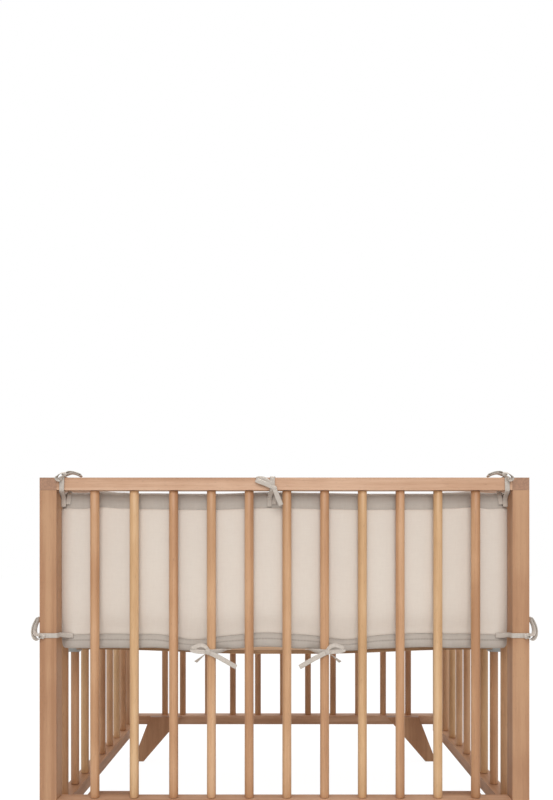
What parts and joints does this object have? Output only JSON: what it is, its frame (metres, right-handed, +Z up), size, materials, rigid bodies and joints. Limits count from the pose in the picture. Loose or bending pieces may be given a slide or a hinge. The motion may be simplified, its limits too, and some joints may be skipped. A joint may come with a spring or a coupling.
{
  "type": "playpen bumper in a playpen",
  "caption": "Padded cloth bumper with a pale back panel between darker edge bands, tied with ribbon bows inside the bars of a plain wooden playpen on splayed legs.",
  "frame": {"origin": "on the floor, in the middle of the playpen's footprint", "axes": "+X along the bumper's front run, to the right when seen from the front; +Y from the front into the playpen; +Z up"},
  "size_m": [1.0498, 0.8024, 0.8229],
  "materials": {
    "beech_frame": "clear satin lacquer",
    "beech_dowel": "clear satin lacquer",
    "beech_board": "clear satin lacquer",
    "bracket_steel": "bare",
    "band_cloth": "plain cotton weave, grey beige",
    "panel_cloth": "plain cotton weave, cream"
  },
  "bodies": {
    "root": {"post_front_left": "beech_frame", "post_rear_left": "beech_frame", "post_front_right": "beech_frame", "post_rear_right": "beech_frame", "top_rail_left": "beech_frame", "low_rail_left": "beech_frame", "dowel_left_1": "beech_dowel", "dowel_left_2": "beech_dowel", "dowel_left_3": "beech_dowel", "dowel_left_4": "beech_dowel", "dowel_left_5": "beech_dowel", "dowel_left_6": "beech_dowel", "dowel_left_7": "beech_dowel", "dowel_left_8": "beech_dowel", "top_rail_right": "beech_frame", "low_rail_right": "beech_frame", "dowel_right_1": "beech_dowel", "dowel_right_2": "beech_dowel", "dowel_right_3": "beech_dowel", "dowel_right_4": "beech_dowel", "dowel_right_5": "beech_dowel", "dowel_right_6": "beech_dowel", "dowel_right_7": "beech_dowel", "dowel_right_8": "beech_dowel", "top_rail_front": "beech_frame", "low_rail_front": "beech_frame", "dowel_front_1": "beech_dowel", "dowel_front_2": "beech_dowel", "dowel_front_3": "beech_dowel", "dowel_front_4": "beech_dowel", "dowel_front_5": "beech_dowel", "dowel_front_6": "beech_dowel", "dowel_front_7": "beech_dowel", "dowel_front_8": "beech_dowel", "dowel_front_9": "beech_dowel", "dowel_front_10": "beech_dowel", "dowel_front_11": "beech_dowel", "rear_grille": "beech_frame", "leg_front_left": "beech_frame", "leg_rear_left": "beech_frame", "leg_front_right": "beech_frame", "leg_rear_right": "beech_frame", "floor_board": "beech_board", "bracket_left_1": "bracket_steel", "bracket_left_2": "bracket_steel", "bracket_right_1": "bracket_steel", "bracket_right_2": "bracket_steel", "bumper_pad": "band_cloth", "back_panel": "panel_cloth", "tie_top_left": "band_cloth", "tie_post_left": "band_cloth", "tie_top_right": "band_cloth", "tie_post_right": "band_cloth", "tie_top_middle": "band_cloth", "tie_low_left": "band_cloth", "tie_low_right": "band_cloth", "wing_tie_top_left": "band_cloth", "wing_tie_low_left": "band_cloth", "wing_tie_top_right": "band_cloth", "wing_tie_low_right": "band_cloth"}
  },
  "joints": []
}
